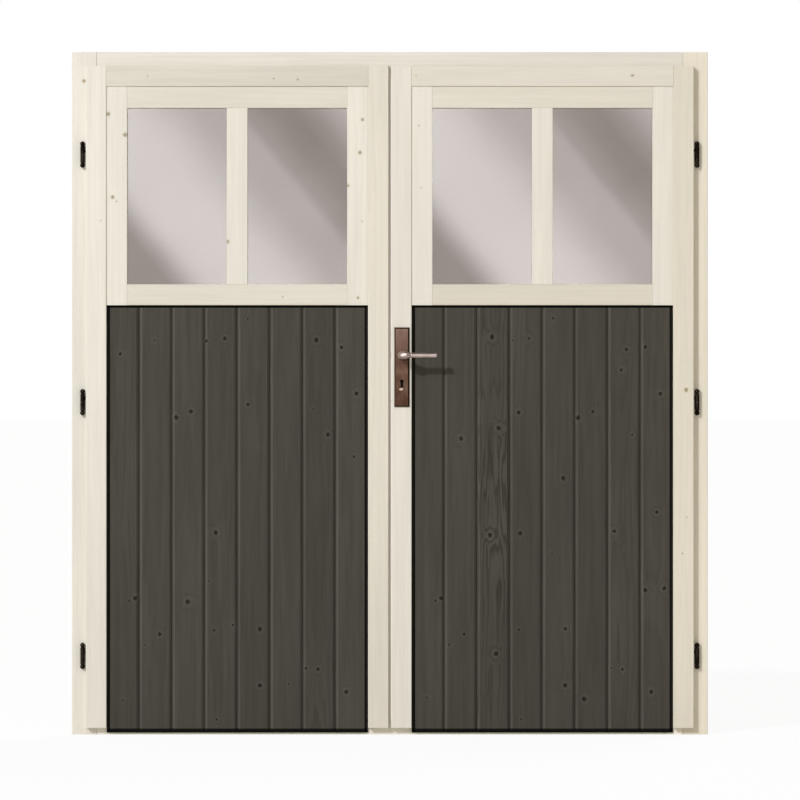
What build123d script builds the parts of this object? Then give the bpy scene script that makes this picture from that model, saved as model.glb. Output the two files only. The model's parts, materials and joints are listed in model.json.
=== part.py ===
"""Double-leaf garden shed door in its rebated wooden frame.

Millimetres, +Z up, front towards -Y. The origin is the middle of the sill's underside.
The right leaf carries the lock and handle, and the left leaf is its mirror image with bolts.
"""

import os
from build123d import *

# Frame
frame_width = 1770.0
frame_height = 1900.0
frame_depth = 70.0
jamb_face = 70.0
head_face = 70.0
sill_height = 40.0
frame_ease = 2.0

# How the leaves lie on the frame
side_margin = 40.0
top_margin = 40.0
bottom_margin = 20.0
lip_overlap = 15.0
sill_overlap = 10.0
seat_gap = 1.0
core_clearance = 2.0
foot_clearance = 3.0
meeting_gap = 7.0

# Leaf framing: a front lip that lies on the frame and a core that sits in its rebate
lip_thickness = 21.0
core_thickness = 19.0
stile_width = 57.0
top_rail_height = 57.0
middle_rail_height = 90.0
bottom_rail_height = 110.0
brace_run = 110.0
leaf_ease = 1.6
tenon_length_share = 0.28
tenon_shoulder = 12.0
tenon_cheek = 4.0
tenon_play = 0.2

# Boarded panel
board_count = 8
panel_height = 1175.0
panel_recess = 9.0
board_thickness = 16.0
board_drop = 14.0
shadow_gap = 10.0
gap_depth = 8.0
head_gap = 7.0
vee_width = 8.0
vee_depth = 6.0
tongue_length = 6.0
tongue_thickness = 3.5
tongue_play = 0.3
drip_height = 12.0
drip_depth = 7.0

# Window sash
sash_recess = 3.5
sash_side = 58.0
sash_top = 60.0
sash_bottom = 58.0
muntin_width = 58.0
sash_ease = 1.2
glass_setback = 11.5
glass_thickness = 3.0
glass_lap = 12.0
glass_play = 1.0
glazing_bead_depth = 14.0

# Drill-in barrel hinges
hinge_foot_height = 219.0
hinge_middle_height = 925.0
hinge_head_drop = 286.0
hinge_offset = 10.0
hinge_stand = 8.0
barrel_radius = 6.4
barrel_length = 22.0
barrel_split = 0.4
ball_radius = 7.0
waist_radius = 4.6
waist_length = 2.4
pin_radius = 3.5
pin_bite = 18.0
pin_reach = 18.0
hinge_fit = 0.05
stem_radius = 4.0
stem_bite = 34.0
stem_play = 0.1

# Bead in the meeting gap, on the passive leaf
bead_setback = 10.0
bead_depth = 5.0
bead_clearance = 0.5

# Lock
backset = 30.0
spindle_height = 1055.0
key_drop = 72.0
lock_drop = 32.5
spindle_side = 8.0
spindle_play = 0.1
case_height = 165.0
case_thickness = 14.0
case_tail = 12.5
case_play = 0.25
forend_height = 205.0
forend_width = 20.0
forend_thickness = 2.5
follower_radius = 10.0
follower_fit = 0.05
latch_height = 18.0
latch_thickness = 10.0
latch_length = 18.0
latch_gap = 2.0
latch_nose = 3.0
bolt_height = 32.0
bolt_thickness = 8.0
bolt_length = 22.0
bolt_throw = 14.0
bolt_setback = 0.5
bolt_play = 0.3
strike_thickness = 2.0
strike_play = 1.0
key_radius = 5.5
key_slot_width = 7.0
key_slot_length = 16.0
keyway_depth = 4.5

# Handle plates and levers
plate_width = 42.0
plate_height = 221.0
plate_thickness = 7.0
plate_bevel = 4.0
plate_screw_radius = 2.5
plate_screw_head_radius = 4.5
plate_screw_head_height = 2.5
plate_screw_inset = 10.0
plate_screw_bite = 4.0
plate_screw_play = 0.1
neck_radius = 9.0
neck_fit = 0.05
neck_flare = 2.0
neck_flare_length = 5.0
neck_seat = 0.4
lever_stand = 46.0
lever_length = 98.5
bend_radius = 14.0
bend_tube_radius = 11.5
bend_turn = 90.0
arm_radius = 6.3
arm_length = 25.5
collar_radius = 7.9
collar_width = 5.0
collar_round = 1.6
grip_radius = 7.4
grip_end_round = 4.5
spindle_bite = 32.0

# Bolts of the passive leaf
shoot_radius = 5.0
shoot_fit = 0.05
shoot_stand = 12.0
shoot_throw = 20.0
shoot_gap = 4.0
shoot_proud = 8.0
shoot_knob_radius = 4.0
shoot_knob_length = 16.0
guide_length = 112.0
guide_width = 40.0
guide_plate = 2.0
guide_loop_length = 14.0
guide_loop_wall = 4.0
keeper_length = 42.0
keeper_width = 20.0
keeper_thickness = 2.0
keeper_play = 1.0
keeper_spare = 4.0

# Screws at the frame corners, and holes for fixing the jambs to a wall
screw_radius = 2.5
screw_head_radius = 5.0
screw_head_height = 2.5
screw_bite = 45.0
screw_spread = 36.0
screw_play = 0.1
fixing_radius = 3.5
fixing_sink_radius = 7.0
fixing_sink_depth = 3.5
fixing_foot_height = 250.0
fixing_head_drop = 250.0
fixing_setback = 47.0

overrun = 1.0

# Places worked out from the sizes above
half_width = frame_width / 2
frame_front = -frame_depth / 2
frame_back = frame_depth / 2
fixing_heights = (fixing_foot_height, frame_height - fixing_head_drop)
jamb_inner = half_width - jamb_face
head_under = frame_height - head_face

leaf_outer = half_width - side_margin
leaf_inner = meeting_gap / 2
leaf_top = frame_height - top_margin
leaf_bottom = bottom_margin
lip_back = frame_front - seat_gap
leaf_front = lip_back - lip_thickness
leaf_back = lip_back + core_thickness
leaf_middle = (leaf_front + leaf_back) / 2

rebate_back = leaf_back + seat_gap
rebate_half = leaf_outer - lip_overlap
rebate_top = leaf_top - lip_overlap
rebate_bottom = leaf_bottom + sill_overlap
core_outer = rebate_half - core_clearance
core_top = rebate_top - core_clearance
core_bottom = rebate_bottom + foot_clearance

tenon_length = stile_width * tenon_length_share
panel_near = leaf_inner + stile_width
panel_far = leaf_outer - stile_width
panel_top = leaf_bottom + panel_height
panel_front = leaf_front + panel_recess
board_back = panel_front + board_thickness
gap_floor = panel_front + gap_depth
board_pitch = (panel_far - panel_near) / board_count
board_foot = leaf_bottom - board_drop
groove_front = panel_front + vee_depth + tongue_play
groove_back = groove_front + tongue_thickness + 2 * tongue_play
groove_depth = tongue_length + tongue_play

sash_front = leaf_front + sash_recess
sash_foot = panel_top
sash_head = leaf_top - top_rail_height
sight_bottom = sash_foot + sash_bottom
sight_top = sash_head - sash_top
muntin_middle = (panel_near + panel_far) / 2
sight_spans = (
    (panel_near + sash_side, muntin_middle - muntin_width / 2),
    (muntin_middle + muntin_width / 2, panel_far - sash_side),
)
glass_front = sash_front + glass_setback
glass_back = glass_front + glass_thickness

hinge_heights = (hinge_foot_height, hinge_middle_height, frame_height - hinge_head_drop)
hinge_x = leaf_outer + hinge_offset
hinge_y = frame_front - hinge_stand

spindle_x = leaf_inner + backset
key_height = spindle_height - key_drop
lock_height = spindle_height - lock_drop
case_near = leaf_inner + forend_thickness
case_far = spindle_x + case_tail
latch_projection = meeting_gap - latch_gap
strike_depth = bolt_throw + strike_play
plate_front = leaf_front - plate_thickness
lever_y = plate_front - lever_stand

shoot_x = -(leaf_inner + stile_width / 2)
shoot_y = leaf_back + shoot_stand
shoot_top = head_under - keeper_thickness - shoot_gap
shoot_foot = sill_height + keeper_thickness + shoot_gap
shoot_length = guide_length + 2 * shoot_proud
keeper_depth = shoot_throw - shoot_gap + keeper_spare

# Round shapes stand on their base
on_base = (Align.CENTER, Align.CENTER, Align.MIN)


def block(x0, x1, y0, y1, z0, z1):
    """A box between two corners."""
    return Pos(x0, y0, z0) * Box(x1 - x0, y1 - y0, z1 - z0, align=Align.MIN)


def rod_x(radius, x0, x1, y, z):
    """A round rod along X."""
    return Pos(x0, y, z) * Rot(Y=90) * Cylinder(radius, x1 - x0, align=on_base)


def rod_y(radius, y0, y1, x, z):
    """A round rod along Y."""
    return Pos(x, y0, z) * Rot(X=-90) * Cylinder(radius, y1 - y0, align=on_base)


def rod_z(radius, z0, z1, x, y):
    """A round rod along Z."""
    return Pos(x, y, z0) * Cylinder(radius, z1 - z0, align=on_base)


def lock_block(x0, x1, thickness, height, level):
    """A box in the middle of a stile's thickness, centred on a level."""
    half, tall = thickness / 2, height / 2
    return block(x0, x1, leaf_middle - half, leaf_middle + half, level - tall, level + tall)


def mirrored(shape):
    """The same piece on the left leaf."""
    return mirror(shape, about=Plane.YZ)


def flipped(shape):
    """The same piece on the other face of a leaf."""
    return mirror(shape, about=Plane.XZ.offset(-leaf_middle))


def eased_front(shape, axis, length):
    """Takes the sharp corner off the long front edges that run along an axis."""
    edges = shape.edges().filter_by(axis).group_by(Axis.Y)[0]
    return chamfer(edges, length)


# Frame members, with one rebate cut around the opening for both leaves


def frame_rebate():
    return block(-rebate_half, rebate_half, frame_front - overrun, rebate_back, rebate_bottom, rebate_top)


def corner_screw(z, y, play):
    """A countersunk screw from the right jamb's outer face into the end of head or sill."""
    shank = rod_x(screw_radius + play, jamb_inner - screw_bite - play, half_width, y, z)
    head = Pos(half_width, y, z) * Rot(Y=-90) * Cone(
        screw_head_radius + play, screw_radius + play, screw_head_height, align=on_base)
    return shank + head


def corner_screws(play):
    heights = ((frame_height + rebate_top) / 2, rebate_bottom / 2)
    places = [(z, side * screw_spread / 2) for z in heights for side in (-1, 1)]
    return [corner_screw(z, y, play) for z, y in places]


def fixing_hole(z):
    """A countersunk hole through the right jamb, entered from inside the doorway."""
    y = frame_front + fixing_setback
    bore = rod_x(fixing_radius, jamb_inner - overrun, half_width + overrun, y, z)
    sink = Pos(jamb_inner, y, z) * Rot(Y=90) * Cone(
        fixing_sink_radius, fixing_radius, fixing_sink_depth, align=on_base)
    return bore + sink


def jamb():
    body = block(jamb_inner, half_width, frame_front, frame_back, 0, frame_height)
    body = eased_front(body, Axis.Z, frame_ease)
    body -= frame_rebate()
    body -= corner_screws(screw_play)
    body -= [fixing_hole(z) for z in fixing_heights]
    body -= [hinge_frame_stem(z, stem_play) for z in hinge_heights]
    return body


def across(shapes):
    """Cuts made at both ends of a cross member."""
    return [*shapes, *(mirrored(shape) for shape in shapes)]


def bolt_socket(z0, z1):
    """The hole that takes the end of a shoot bolt."""
    return rod_z(shoot_radius + keeper_play, z0, z1, shoot_x, shoot_y)


def head():
    body = block(-jamb_inner, jamb_inner, frame_front, frame_back, head_under, frame_height)
    body = eased_front(body, Axis.X, frame_ease)
    body -= frame_rebate()
    body -= across(corner_screws(screw_play))
    return body - bolt_socket(head_under - overrun, head_under + keeper_depth)


def sill():
    body = block(-jamb_inner, jamb_inner, frame_front, frame_back, 0, sill_height)
    body -= frame_rebate()
    body -= across(corner_screws(screw_play))
    return body - bolt_socket(sill_height - keeper_depth, sill_height + overrun)


# Leaf framing, as on the right leaf


def framing(x0, x1, z0, z1):
    """A full-thickness leaf member: its lip as given, its core held inside the frame's rebate."""
    lip = block(x0, x1, leaf_front, lip_back, z0, z1)
    core = block(x0, min(x1, core_outer), lip_back, leaf_back, max(z0, core_bottom), min(z1, core_top))
    return lip + core


def panel_groove(x0, x1):
    """The groove that takes the rebated edge of the boards."""
    y0, y1 = lip_back - tongue_play, board_back + tongue_play
    return block(x0, x1, y0, y1, leaf_bottom - overrun, panel_top)


def tenons(y0, y1, z0, z1, play):
    """The bar that a rail puts into the stiles at both of its ends."""
    reach, inset = tenon_length + play, tenon_shoulder - play
    cheek = tenon_cheek - play
    return block(panel_near - reach, panel_far + reach, y0 + cheek, y1 - cheek, z0 + inset, z1 - inset)


def top_tenons(play):
    return tenons(lip_back, leaf_back, sash_head, core_top, play)


def middle_tenons(play):
    return tenons(board_back, leaf_back, panel_top - middle_rail_height, panel_top, play)


def bottom_tenons(play):
    return tenons(board_back, leaf_back, core_bottom, core_bottom + bottom_rail_height, play)


def mortises():
    return [top_tenons(tenon_play), middle_tenons(tenon_play), bottom_tenons(tenon_play)]


def hinge_stile():
    body = framing(panel_far, leaf_outer, leaf_bottom, leaf_top)
    body = eased_front(body, Axis.Z, leaf_ease)
    body -= [panel_groove(panel_far - overrun, panel_far + groove_depth), *mortises()]
    return body - [hinge_leaf_stem(z, stem_play) for z in hinge_heights]


def meeting_stile():
    body = framing(leaf_inner, panel_near, leaf_bottom, leaf_top)
    body = eased_front(body, Axis.Z, leaf_ease)
    return body - [panel_groove(panel_near - groove_depth, panel_near + overrun), *mortises()]


def top_rail():
    body = framing(panel_near, panel_far, sash_head, leaf_top)
    return eased_front(body, Axis.X, leaf_ease) + top_tenons(0)


def back_rail(z0, z1):
    """A thinner rail behind the boards, flush with the back of the stiles."""
    return block(panel_near, panel_far, board_back, leaf_back, z0, z1)


def middle_rail():
    return back_rail(panel_top - middle_rail_height, panel_top) + middle_tenons(0)


def bottom_rail():
    return back_rail(core_bottom, core_bottom + bottom_rail_height) + bottom_tenons(0)


def brace():
    """The diagonal that rises from the hinge side to the meeting side."""
    z0 = core_bottom + bottom_rail_height
    z1 = panel_top - middle_rail_height
    corners = [(panel_far, z0), (panel_near + brace_run, z1), (panel_near, z1), (panel_far - brace_run, z0)]
    outline = make_face(Polyline(*((x, 0, z) for x, z in corners), close=True))
    return Pos(0, board_back, 0) * extrude(outline, leaf_back - board_back, dir=(0, 1, 0))


# Boarded panel, with a shadow gap where it meets the leaf's framing


def tongue_edge(x):
    """A board's right edge towards the next board, from front to back."""
    tongue_front = groove_front + tongue_play
    tongue_back = tongue_front + tongue_thickness
    return [
        (x - vee_width, panel_front),
        (x, panel_front + vee_depth),
        (x, tongue_front),
        (x + tongue_length, tongue_front),
        (x + tongue_length, tongue_back),
        (x, tongue_back),
        (x, board_back),
    ]


def groove_edge(x):
    """A board's left edge towards the next board, from front to back."""
    return [
        (x + vee_width, panel_front),
        (x, panel_front + vee_depth),
        (x, groove_front),
        (x + groove_depth, groove_front),
        (x + groove_depth, groove_back),
        (x, groove_back),
        (x, board_back),
    ]


def rebated_edge(x, outward):
    """An outer edge: set back at the shadow gap, then held in the stile's groove."""
    shoulder, end = x - outward * shadow_gap, x + outward * tongue_length
    side = x - outward * tongue_play
    return [
        (shoulder, panel_front),
        (shoulder, gap_floor),
        (side, gap_floor),
        (side, lip_back),
        (end, lip_back),
        (end, board_back),
    ]


def board_outline(x0, x1, index):
    left = rebated_edge(x0, -1) if index == 0 else groove_edge(x0)
    right = rebated_edge(x1, 1) if index == board_count - 1 else tongue_edge(x1)
    return make_face(Polyline(*right, *reversed(left), close=True))


def head_rebate():
    """The shadow gap along the boards' upper ends."""
    return block(0, leaf_outer, panel_front - overrun, lip_back, panel_top - head_gap, panel_top + overrun)


def foot_rebate():
    """What is taken off the back of the boards' feet, so that they lap over the sill."""
    return block(0, leaf_outer, lip_back, board_back + overrun, board_foot - overrun, core_bottom)


def drip_cut():
    """The wedge taken off the front of the boards' feet."""
    outline = make_face(Polyline(
        (0, panel_front - overrun, board_foot - overrun),
        (0, panel_front + drip_depth, board_foot - overrun),
        (0, panel_front + drip_depth, board_foot),
        (0, panel_front, board_foot + drip_height),
        (0, panel_front - overrun, board_foot + drip_height),
        close=True))
    return Pos(leaf_inner, 0, 0) * extrude(outline, leaf_outer - leaf_inner, dir=(1, 0, 0))


def board(index):
    x0 = panel_near + index * board_pitch
    outline = board_outline(x0, x0 + board_pitch, index)
    body = Pos(0, 0, board_foot) * extrude(outline, panel_top - board_foot, dir=(0, 0, 1))
    return body - [drip_cut(), head_rebate(), foot_rebate()]


def boards():
    return [board(index) for index in range(board_count)]


# Window sash with two panes


def pane_rebate(span):
    x0, x1 = span
    return block(x0 - glass_lap, x1 + glass_lap, glass_front, leaf_back + overrun,
                 sight_bottom - glass_lap, sight_top + glass_lap)


def sash_member(x0, x1, z0, z1, axis):
    body = block(x0, x1, sash_front, leaf_back, z0, z1)
    body = eased_front(body, axis, sash_ease)
    return body - [pane_rebate(span) for span in sight_spans]


def sash_hinge_stile():
    return sash_member(panel_far - sash_side, panel_far, sash_foot, sash_head, Axis.Z)


def sash_meeting_stile():
    return sash_member(panel_near, panel_near + sash_side, sash_foot, sash_head, Axis.Z)


def sash_top_rail():
    return sash_member(panel_near + sash_side, panel_far - sash_side, sight_top, sash_head, Axis.X)


def sash_bottom_rail():
    return sash_member(panel_near + sash_side, panel_far - sash_side, sash_foot, sight_bottom, Axis.X)


def sash_muntin():
    return sash_member(muntin_middle - muntin_width / 2, muntin_middle + muntin_width / 2,
                       sight_bottom, sight_top, Axis.Z)


def pane(span):
    x0, x1 = span
    lap = glass_lap - glass_play
    return block(x0 - lap, x1 + lap, glass_front, glass_back, sight_bottom - lap, sight_top + lap)


def glazing_beads(span):
    """Four beads that hold a pane from behind."""
    x0, x1 = span
    y0, y1 = glass_back, glass_back + glazing_bead_depth
    z0, z1 = sight_bottom - glass_lap, sight_top + glass_lap
    return [
        block(x0 - glass_lap, x0, y0, y1, z0, z1),
        block(x1, x1 + glass_lap, y0, y1, z0, z1),
        block(x0, x1, y0, y1, z0, sight_bottom),
        block(x0, x1, y0, y1, sight_top, z1),
    ]


# Hinges on the right side, with the split between the halves at the given height


def hinge_frame_stem(z, play):
    level = z - barrel_length / 2
    return rod_y(stem_radius + play, hinge_y, frame_front + stem_bite + play, hinge_x, level)


def hinge_leaf_stem(z, play):
    level = z + barrel_length / 2
    return rod_x(stem_radius + play, leaf_outer - stem_bite - play, hinge_x, hinge_y, level)


def hinge_half(inner, outward):
    """A barrel, waist and ball tip, turned about Z from its inner end outwards."""
    shoulder = inner + outward * barrel_length
    waist = shoulder + outward * waist_length
    ball_middle = waist + outward * (ball_radius**2 - waist_radius**2) ** 0.5
    neck, tip = (waist_radius, 0, waist), (0, 0, ball_middle + outward * ball_radius)
    with BuildLine() as profile:
        Polyline((0, 0, inner), (barrel_radius, 0, inner), (barrel_radius, 0, shoulder), neck)
        ThreePointArc(neck, (ball_radius, 0, ball_middle), tip)
        Line(tip, (0, 0, inner))
    return revolve(make_face(profile.line), Axis.Z)


def hinge_frame_half(z):
    """Lower half, with a stem into the jamb."""
    body = Pos(hinge_x, hinge_y, z) * hinge_half(0, -1) + hinge_frame_stem(z, 0)
    return body - rod_z(pin_radius + hinge_fit, z - pin_bite, z + overrun, hinge_x, hinge_y)


def hinge_leaf_half(z):
    """Upper half, which turns on the pin, with a stem into the leaf's edge."""
    body = Pos(hinge_x, hinge_y, z) * hinge_half(barrel_split, 1) + hinge_leaf_stem(z, 0)
    bore_top = z + pin_reach + barrel_split
    return body - rod_z(pin_radius + hinge_fit, z - overrun, bore_top, hinge_x, hinge_y)


def hinge_pin(z):
    return rod_z(pin_radius, z - pin_bite, z + pin_reach, hinge_x, hinge_y)


# Lock in the right leaf's meeting stile


def keyhole(y0, y1, play=0.0):
    """Round top and straight slot, cut through in depth."""
    round_part = rod_y(key_radius + play, y0, y1, spindle_x, key_height)
    half = key_slot_width / 2 + play
    slot = block(spindle_x - half, spindle_x + half, y0, y1, key_height - key_slot_length - play, key_height)
    return round_part + slot


def lock_mortise():
    """What the lock needs cut out of its stile."""
    edge, room = leaf_inner - overrun, 2 * case_play
    pocket = lock_block(edge, case_far + case_play, case_thickness + room, case_height + room, lock_height)
    seat = lock_block(edge, case_near, forend_width + room, forend_height + room, lock_height)
    y0, y1 = leaf_front - overrun, leaf_back + overrun
    spindle_way = rod_y(follower_radius, y0, y1, spindle_x, spindle_height)
    return [pocket, seat, spindle_way, keyhole(y0, y1, case_play), *plate_screw_ways()]


def lock_stile():
    return meeting_stile() - lock_mortise()


def latch_bolt():
    """Latch with a nose bevelled on the closing side."""
    tip = leaf_inner - latch_projection
    body = lock_block(tip, tip + latch_length, latch_thickness, latch_height, spindle_height)
    nose = body.edges().filter_by(Axis.Z).group_by(Axis.X)[0].sort_by(Axis.Y)[-1]
    return chamfer(nose, latch_nose)


def latch_way():
    room = 2 * bolt_play
    far = leaf_inner + latch_length + bolt_play
    return lock_block(leaf_inner - overrun, far, latch_thickness + room, latch_height + room, spindle_height)


def dead_bolt():
    tip = leaf_inner + bolt_setback
    return lock_block(tip, tip + bolt_length, bolt_thickness, bolt_height, key_height)


def dead_bolt_way():
    room = 2 * bolt_play
    far = leaf_inner + bolt_setback + bolt_length + bolt_play
    return lock_block(leaf_inner - overrun, far, bolt_thickness + room, bolt_height + room, key_height)


def lock_case():
    """Flat case behind a long forend, with ways for bolts and follower and a keyway on each face."""
    case = lock_block(case_near, case_far, case_thickness, case_height, lock_height)
    forend = lock_block(leaf_inner, case_near, forend_width, forend_height, lock_height)
    y0, y1 = leaf_middle - forend_width, leaf_middle + forend_width
    follower_bore = rod_y(follower_radius + follower_fit, y0, y1, spindle_x, spindle_height)
    front, back = leaf_middle - case_thickness / 2, leaf_middle + case_thickness / 2
    keyways = [keyhole(y0, front + keyway_depth), keyhole(back - keyway_depth, y1)]
    return case + forend - [follower_bore, *keyways, latch_way(), dead_bolt_way()]


def square_bar(side, y0, y1):
    half = side / 2
    return block(spindle_x - half, spindle_x + half, y0, y1, spindle_height - half, spindle_height + half)


def follower():
    front, back = leaf_middle - case_thickness / 2, leaf_middle + case_thickness / 2
    body = rod_y(follower_radius, front, back, spindle_x, spindle_height)
    return body - square_bar(spindle_side + 2 * spindle_play, front - overrun, back + overrun)


def spindle():
    return square_bar(spindle_side, leaf_front - spindle_bite, leaf_back + spindle_bite)


# Handle plates and levers


def plate_screw_heights():
    reach = plate_height / 2 - plate_screw_inset
    return (lock_height - reach, lock_height + reach)


def plate_screw_ways():
    """Holes for the plate screws, from the outer plate's back to the inner plate's face."""
    radius = plate_screw_radius + plate_screw_play
    y0, y1 = leaf_front - plate_screw_bite, leaf_back + plate_thickness
    return [rod_y(radius, y0, y1, spindle_x, z) for z in plate_screw_heights()]


def plate_screws():
    """Two screws from the inner plate, through the stile, into the back of the outer plate."""
    tip = leaf_front - plate_screw_bite + plate_screw_play
    seat = leaf_back + plate_thickness
    top = seat + plate_screw_head_height
    screws = []
    for z in plate_screw_heights():
        shank = rod_y(plate_screw_radius, tip, seat, spindle_x, z)
        screws.append(shank + rod_y(plate_screw_head_radius, seat, top, spindle_x, z))
    return screws


def outer_plate():
    """Long plate with bevelled edges, a bore for the lever's neck and a keyhole."""
    half_wide, half_tall = plate_width / 2, plate_height / 2
    body = block(spindle_x - half_wide, spindle_x + half_wide, plate_front, leaf_front,
                 lock_height - half_tall, lock_height + half_tall)
    body = chamfer(body.faces().sort_by(Axis.Y)[0].edges(), plate_bevel)
    y0, y1 = plate_front - overrun, leaf_front + overrun
    neck_bore = rod_y(neck_radius + neck_fit, y0, y1, spindle_x, spindle_height)
    return body - [neck_bore, keyhole(y0, y1)]


def lever_grip():
    """Tapered arm, rounded collar and straight grip with a softly rounded end."""
    arm_start, arm_end = spindle_x + bend_radius, spindle_x + arm_length
    collar_end = arm_end + collar_width
    arm = Pos(arm_start, lever_y, spindle_height) * Rot(Y=90) * Cone(
        bend_tube_radius, arm_radius, arm_end - arm_start, align=on_base)
    collar = rod_x(collar_radius, arm_end, collar_end, lever_y, spindle_height)
    collar = fillet(collar.edges().filter_by(GeomType.CIRCLE), collar_round)
    grip = rod_x(grip_radius, collar_end, spindle_x + lever_length, lever_y, spindle_height)
    grip = fillet(grip.edges().filter_by(GeomType.CIRCLE).sort_by(Axis.X)[-1], grip_end_round)
    return arm + collar + grip


def lever_neck():
    """Stem that turns in the plate, a flare in front of the plate and a swell up to the bend."""
    flare_base = plate_front - neck_seat
    flare_end = flare_base - neck_flare_length
    bend_start = lever_y + bend_radius
    stem = rod_y(neck_radius, flare_end, leaf_front - neck_seat, spindle_x, spindle_height)
    flare = Pos(spindle_x, flare_base, spindle_height) * Rot(X=90) * Cone(
        neck_radius + neck_flare, neck_radius, neck_flare_length, align=on_base)
    swell = Pos(spindle_x, flare_end, spindle_height) * Rot(X=90) * Cone(
        neck_radius, bend_tube_radius, flare_end - bend_start, align=on_base)
    return stem + flare + swell


def lever_bend():
    """Quarter turn that leads the neck into the arm."""
    bend_middle = (spindle_x + bend_radius, lever_y + bend_radius, spindle_height)
    tube = Pos(spindle_x, lever_y + bend_radius, spindle_height) * Rot(X=90) * Circle(bend_tube_radius)
    return revolve(tube, Axis(bend_middle, (0, 0, 1)), bend_turn)


def outer_lever():
    """Neck, bend and grip in one piece, with a square socket for the spindle."""
    socket_end = leaf_front - spindle_bite - spindle_play
    socket = square_bar(spindle_side + 2 * spindle_play, socket_end, leaf_front)
    return lever_neck() + lever_bend() + lever_grip() - socket


def inner_plate():
    return flipped(outer_plate()) - plate_screw_ways()


def outer_plate_threaded():
    return outer_plate() - plate_screw_ways()


def inner_lever():
    return flipped(outer_lever())


# Left leaf: strike, meeting bead and bolts


def strike_openings():
    """Pockets for latch and dead bolt in the passive stile's edge."""
    x0, x1, room = -leaf_inner - strike_depth, -leaf_inner + overrun, 2 * strike_play
    latch_pocket = lock_block(x0, x1, latch_thickness + room, latch_height + room, spindle_height)
    bolt_pocket = lock_block(x0, x1, bolt_thickness + room, bolt_height + room, key_height)
    return [latch_pocket, bolt_pocket]


def strike_blank(play):
    room = 2 * play
    return lock_block(-leaf_inner - strike_thickness, -leaf_inner, forend_width + room, forend_height + room,
                      lock_height)


def strike_plate():
    return strike_blank(0) - strike_openings()


def strike_stile():
    return mirrored(meeting_stile()) - [strike_blank(case_play), *strike_openings()]


def meeting_bead():
    """The strip that closes the gap behind the front edges of the two leaves."""
    front = leaf_front + bead_setback
    return block(-leaf_inner, leaf_inner - bead_clearance, front, front + bead_depth, leaf_bottom, leaf_top)


def shoot_bolt(z0, knob_height):
    knob_end = shoot_y + shoot_radius + shoot_knob_length
    body = rod_z(shoot_radius, z0, z0 + shoot_length, shoot_x, shoot_y)
    return body + rod_y(shoot_knob_radius, shoot_y, knob_end, shoot_x, knob_height)


def bolt_guide(z0):
    """A back plate with a bored loop at each end."""
    half = guide_width / 2
    body = block(shoot_x - half, shoot_x + half, leaf_back, leaf_back + guide_plate, z0, z0 + guide_length)
    outer = shoot_radius + guide_loop_wall
    for start in (z0, z0 + guide_length - guide_loop_length):
        stop = start + guide_loop_length
        body += block(shoot_x - outer, shoot_x + outer, leaf_back, shoot_y, start, stop)
        body += rod_z(outer, start, stop, shoot_x, shoot_y)
    way_end = z0 + guide_length + overrun
    return body - rod_z(shoot_radius + shoot_fit, z0 - overrun, way_end, shoot_x, shoot_y)


def top_bolt():
    z0 = shoot_top - shoot_length
    return shoot_bolt(z0, z0 + (shoot_length - shoot_throw) / 2)


def bottom_bolt():
    return shoot_bolt(shoot_foot, shoot_foot + (shoot_length + shoot_throw) / 2)


def keeper(z0):
    half_long, half_wide = keeper_length / 2, keeper_width / 2
    z1 = z0 + keeper_thickness
    plate = block(shoot_x - half_long, shoot_x + half_long, shoot_y - half_wide, shoot_y + half_wide, z0, z1)
    return plate - bolt_socket(z0 - overrun, z1 + overrun)


# Every node, one file each


def leaf_nodes():
    """The pieces that both leaves share, as on the right leaf."""
    near_pane, far_pane = sight_spans
    return {
        "hinge_stile": [hinge_stile()],
        "top_rail": [top_rail()],
        "middle_rail": [middle_rail()],
        "bottom_rail": [bottom_rail()],
        "brace": [brace()],
        "boards": boards(),
        "sash_hinge_stile": [sash_hinge_stile()],
        "sash_meeting_stile": [sash_meeting_stile()],
        "sash_top_rail": [sash_top_rail()],
        "sash_bottom_rail": [sash_bottom_rail()],
        "sash_muntin": [sash_muntin()],
        "pane_meeting": [pane(near_pane)],
        "pane_hinge": [pane(far_pane)],
        "glazing_beads": glazing_beads(near_pane) + glazing_beads(far_pane),
        "hinge_leaf_halves": [hinge_leaf_half(z) for z in hinge_heights],
        "hinge_frame_halves": [hinge_frame_half(z) for z in hinge_heights],
        "hinge_pins": [hinge_pin(z) for z in hinge_heights],
        "jamb": [jamb()],
    }


def single_nodes():
    """The pieces that are there once."""
    return {
        "head": [head()],
        "sill": [sill()],
        "frame_corner_screws": across(corner_screws(0)),
        "right_meeting_stile": [lock_stile()],
        "left_meeting_stile": [strike_stile()],
        "meeting_bead": [meeting_bead()],
        "lock_case": [lock_case()],
        "lock_follower": [follower()],
        "latch_bolt": [latch_bolt()],
        "dead_bolt": [dead_bolt()],
        "spindle": [spindle()],
        "outer_plate": [outer_plate_threaded()],
        "inner_plate": [inner_plate()],
        "plate_screws": plate_screws(),
        "outer_lever": [outer_lever()],
        "inner_lever": [inner_lever()],
        "strike_plate": [strike_plate()],
        "top_bolt": [top_bolt()],
        "bottom_bolt": [bottom_bolt()],
        "top_bolt_guide": [bolt_guide(shoot_top - shoot_length + shoot_proud)],
        "bottom_bolt_guide": [bolt_guide(shoot_foot + shoot_proud)],
        "top_keeper": [keeper(head_under - keeper_thickness)],
        "bottom_keeper": [keeper(sill_height)],
    }


def main():
    nodes = single_nodes()
    for name, solids in leaf_nodes().items():
        nodes[f"right_{name}"] = solids
        nodes[f"left_{name}"] = [mirrored(solid) for solid in solids]
    os.makedirs("parts", exist_ok=True)
    for name, solids in nodes.items():
        shape = solids[0] if len(solids) == 1 else Compound(children=solids)
        export_step(shape, f"parts/{name}.step")


main()
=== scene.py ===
import json
from math import cos, pi, sin

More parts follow.
